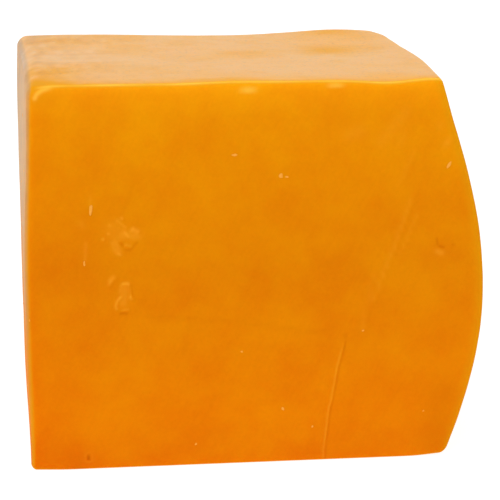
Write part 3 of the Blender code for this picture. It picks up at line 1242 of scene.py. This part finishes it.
class Crumb(NamedTuple):
    """A crumb smeared on a side: its place in the side's plane, length, breadth and turn, in mm and degrees."""

    face: Face
    along: float
    up: float
    length: float
    breadth: float
    turn: float = 0.0


CRUMBS = (
    Crumb(Face.FRONT, -36.4, 64.8, 2.8, 0.8, 84.0),
    Crumb(Face.FRONT, -38.3, 52.0, 1.3, 0.5, 90.0),
    Crumb(Face.FRONT, -3.5, 76.9, 1.5, 0.65, 0.0),
    Crumb(Face.FRONT, 7.1, 71.7, 1.4, 1.0, 80.0),
    Crumb(Face.FRONT, 8.5, 71.5, 0.8, 0.6, 0.0),
    Crumb(Face.FRONT, 46.2, 73.5, 1.9, 0.7, 60.0),
    Crumb(Face.FRONT, 27.0, 33.5, 0.55, 0.45, 20.0),
    Crumb(Face.FRONT, 8.0, 13.9, 1.0, 0.7, 110.0),
    Crumb(Face.FRONT, 15.2, 9.0, 0.6, 0.45, 60.0),
    Crumb(Face.FRONT, 42.4, 12.2, 0.5, 0.4, 30.0),
    Crumb(Face.FRONT, -51.4, 38.5, 0.6, 0.4, 90.0),
    Crumb(Face.FRONT, -1.9, 29.0, 0.6, 0.5, 0.0),
    Crumb(Face.FRONT, -13.1, 5.5, 0.7, 0.5, 45.0),
)


@dataclass
class Crumbs:
    """The loose crumbs: those that show on the front, and some scattered on each of three other sides."""

    hunk: bpy.types.Object
    finish: bpy.types.Material
    offset: Pair
    height: float = 0.16 * MM
    scattered: int = 9
    seed: int = 11
    roughened: float = 0.20 * MM
    grain_size: float = 0.5
    # How far out each is dropped from onto its side
    cast_from: float = 1.0
    # Where they may lie on the back and on the two other sides, and their sizes, all in millimetres
    back_along: Pair = (-40.0, 34.0)
    side_along: Pair = (8.0, 66.0)
    up: Pair = (10.0, 84.0)
    length: Pair = (0.5, 1.6)
    breadth: Pair = (0.35, 0.6)

    def scatter(self) -> list[Crumb]:
        """Draws the crumbs of the sides that the front doesn't show."""
        draw = np.random.default_rng(self.seed)
        crumbs = []
        for face in (Face.BACK, Face.LEFT, Face.RIGHT):
            along = self.back_along if face is Face.BACK else self.side_along
            for _ in range(self.scattered):
                drawn = [draw.uniform(*span) for span in (along, self.up, self.length, self.breadth, (0.0, 180.0))]
                crumbs.append(Crumb(face, *drawn))
        return crumbs

    def carrier(self) -> bpy.types.Mesh:
        """A mesh of single points on the hunk, with each crumb's size and turn."""
        tree = BVHTree.FromObject(self.hunk, bpy.context.evaluated_depsgraph_get())
        points, sizes, turns = [], [], []
        for crumb in (*CRUMBS, *self.scatter()):
            start = Vector((0.0, 0.0, 0.0))
            for axis, value in zip(crumb.face.plane, (crumb.along, crumb.up)):
                start[axis] = value * MM + (self.offset[axis] if axis < 2 else 0.0)
            start[crumb.face.axis] = crumb.face.sense * self.cast_from
            inward = Vector((0.0, 0.0, 0.0))
            inward[crumb.face.axis] = -crumb.face.sense
            hit, normal, _, _ = tree.ray_cast(start, inward)
            if hit is None:
                continue
            first = Vector((0.0, 0.0, 0.0))
            first[crumb.face.plane[0]] = 1.0
            side = (first - normal * first.dot(normal)).normalized()
            rest = Matrix((side, normal.cross(side), normal)).transposed()
            turned = rest @ Matrix.Rotation(math.radians(crumb.turn), 3, "Z")
            points.append(hit)
            sizes.append((crumb.length * MM / 2.0, crumb.breadth * MM / 2.0, self.height / 2.0))
            turns.append(tuple(turned.to_euler()))
        mesh = bpy.data.meshes.new("crumb_places")
        mesh.from_pydata(points, [], [])
        for name, values in (("crumb_size", sizes), ("crumb_turn", turns)):
            store = mesh.attributes.new(name, "FLOAT_VECTOR", "POINT")
            store.data.foreach_set("vector", np.array(values, dtype=np.float32).ravel())
        return mesh

    def build(self) -> bpy.types.Object:
        """Lays a flattened, uneven crumb on every point."""
        recipe = Recipe("crumbs", {"Roughened": "NodeSocketFloat", "Grain Size": "NodeSocketFloat"})
        tree, given = recipe.tree, recipe.given
        points = add_node(tree, "GeometryNodeMeshToPoints", inputs={"Mesh": given["Geometry"]}).outputs[0]
        ball = add_node(tree, "GeometryNodeMeshIcoSphere", inputs={"Radius": 1.0, "Subdivisions": 2}).outputs[0]
        vectors = {"data_type": "FLOAT_VECTOR"}
        size, turn = (
            add_node(tree, "GeometryNodeInputNamedAttribute", vectors, {"Name": name}).outputs[0]
            for name in ("crumb_size", "crumb_turn")
        )
        rotation = add_node(tree, "FunctionNodeEulerToRotation", inputs={"Euler": turn}).outputs[0]
        inputs = {"Points": points, "Instance": ball, "Rotation": rotation, "Scale": size}
        laid = add_node(tree, "GeometryNodeInstanceOnPoints", inputs=inputs).outputs[0]
        real = add_node(tree, "GeometryNodeRealizeInstances", inputs={"Geometry": laid}).outputs[0]
        place = add_node(tree, "GeometryNodeInputPosition").outputs[0]
        scale = add_node(tree, "ShaderNodeMath", DIVIDE, {0: 1.0 / MM, 1: given["Grain Size"]}).outputs[0]
        inputs = {"Vector": place, "Scale": scale, "Detail": 0.0}
        lumps = add_node(tree, "ShaderNodeTexNoise", inputs=inputs).outputs[1]
        centred = add_node(tree, "ShaderNodeVectorMath", SUBTRACT, {0: lumps, 1: (0.5, 0.5, 0.5)}).outputs[0]
        offset = add_node(tree, "ShaderNodeVectorMath", SCALE, {0: centred, "Scale": given["Roughened"]}).outputs[0]
        moved = add_node(tree, "GeometryNodeSetPosition", inputs={"Geometry": real, "Offset": offset}).outputs[0]
        recipe.close(moved)
        values = {"Roughened": self.roughened, "Grain Size": self.grain_size, "Finish": self.finish}
        return show(recipe.run(self.carrier(), values), "crumbs")


@dataclass(frozen=True)
class Studio:
    """A white sweep under broad soft light, and the camera, a little above the hunk and to its left."""

    offset: Pair
    aim_height: float = 54.28 * MM
    distance: float = 324.8 * MM
    elevation: float = math.radians(17.0)
    turn: float = math.radians(5.2)
    lens: float = 100.8
    floor_radius: float = 6.0
    floor_drop: float = 0.05 * MM
    floor_colour: str = "#8C8C8C"
    floor_glow: float = 0.885
    floor_roughness: float = 0.9
    sky: float = 0.74
    sun: float = 1.0
    sun_angle: float = math.radians(50.0)
    sun_from: tuple[float, float, float] = (-0.45, -0.35, 1.0)

    def camera(self) -> bpy.types.Object:
        """Sets up the camera at the picture's angle."""
        data = bpy.data.cameras.new("camera")
        data.lens = self.lens
        data.sensor_width = 36.0
        camera = bpy.data.objects.new("camera", data)
        look = Vector(
            (
                math.sin(self.turn) * math.cos(self.elevation),
                math.cos(self.turn) * math.cos(self.elevation),
                -math.sin(self.elevation),
            )
        )
        aim = Vector((self.offset[0], self.offset[1], self.aim_height))
        camera.location = aim - look * self.distance
        camera.rotation_euler = look.to_track_quat("-Z", "Y").to_euler()
        bpy.context.scene.collection.objects.link(camera)
        bpy.context.scene.camera = camera
        return camera

    def floor(self) -> bpy.types.Object:
        """Lays the white floor, which fills the picture."""
        material = bpy.data.materials.new("white_sweep")
        material.use_nodes = True
        shader = material.node_tree.nodes["Principled BSDF"]
        for name, value in {
            "Base Color": linear(self.floor_colour),
            "Roughness": self.floor_roughness,
            "Specular IOR Level": 0.0,
            "Emission Color": (1.0, 1.0, 1.0, 1.0),
            "Emission Strength": self.floor_glow,
        }.items():
            shader.inputs[name].default_value = value
        mesh = bpy.data.meshes.new("floor")
        reach, drop = self.floor_radius, -self.floor_drop
        corners = [(x * reach, y * reach, drop) for x, y in ((-1, -1), (1, -1), (1, 1), (-1, 1))]
        mesh.from_pydata(corners, [], [(0, 1, 2, 3)])
        mesh.materials.append(material)
        floor = bpy.data.objects.new("floor", mesh)
        bpy.context.scene.collection.objects.link(floor)
        return floor

    def light(self) -> None:
        """Lights the sweep with a white surround and one very broad sun."""
        world = bpy.data.worlds.new("surround")
        world.use_nodes = True
        sky = world.node_tree.nodes["Background"]
        sky.inputs["Color"].default_value = (1.0, 1.0, 1.0, 1.0)
        sky.inputs["Strength"].default_value = self.sky
        bpy.context.scene.world = world
        data = bpy.data.lights.new("broad_light", "SUN")
        data.energy = self.sun
        data.angle = self.sun_angle
        sun = bpy.data.objects.new("broad_light", data)
        sun.rotation_euler = Vector(self.sun_from).to_track_quat("Z", "Y").to_euler()
        bpy.context.scene.collection.objects.link(sun)
        bpy.context.scene.view_settings.view_transform = "Standard"


def attach(piece: bpy.types.Object) -> None:
    """Ties a piece to the hunk's body, and reports its triangles."""
    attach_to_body(piece, BODY)
    piece.data.calc_loop_triangles()
    LOG.info("%s: %d triangles", piece.name, len(piece.data.loop_triangles))


def main() -> None:
    """Builds the hunk, its crumbs, and the studio."""
    logging.basicConfig(level=logging.INFO, format="%(name)s: %(message)s")
    maker = Hunk(HunkForm(), LipAndHighlight(), SkinAndGlow(), PasteFinish().make())
    hunk = maker.build()
    attach(hunk)
    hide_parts(NODE)
    LOG.info("moved onto the frame by %.3f and %.3f mm", *(part / MM for part in maker.offset))
    attach(Crumbs(hunk, CrumbFinish().make(), maker.offset).build())
    studio = Studio(maker.offset)
    studio.camera()
    studio.floor()
    studio.light()


if __name__ == "__main__":
    main()
